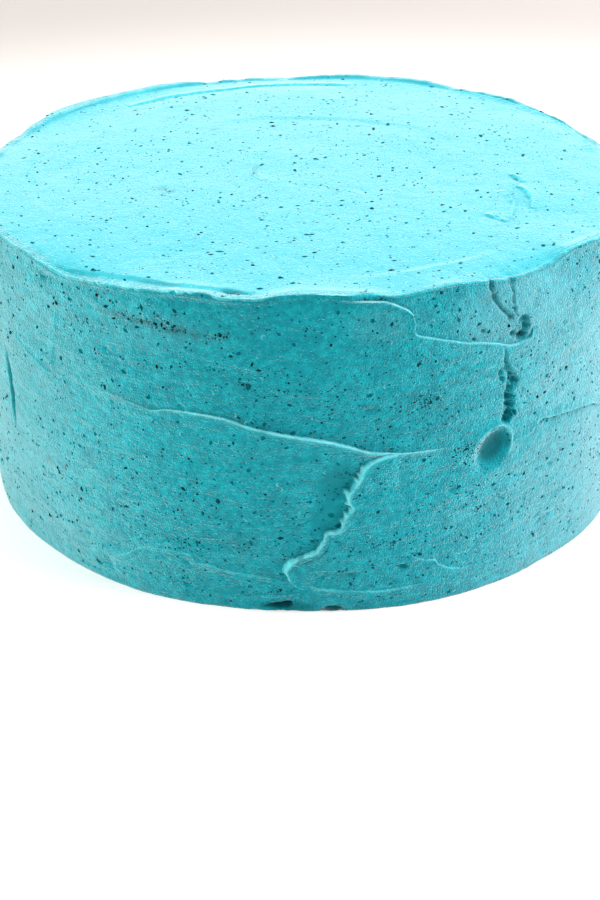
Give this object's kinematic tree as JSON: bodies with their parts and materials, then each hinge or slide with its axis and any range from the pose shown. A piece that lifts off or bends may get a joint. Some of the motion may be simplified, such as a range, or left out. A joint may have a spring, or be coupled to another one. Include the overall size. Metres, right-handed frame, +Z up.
{
  "type": "frosted layer cake",
  "caption": "Round uncut cake under rough aqua buttercream flecked with dark crumbs, with spatula ridges round its side.",
  "frame": {"origin": "middle of the flat underside", "axes": "+Z up through the top of the cake; the side that the picture shows faces -Y"},
  "size_m": [0.2091, 0.2083, 0.0985],
  "materials": {
    "buttercream": "matt spread aqua buttercream, flecked with dark biscuit crumbs"
  },
  "bodies": {
    "root": {"frosted_cake": "buttercream"}
  },
  "joints": []
}
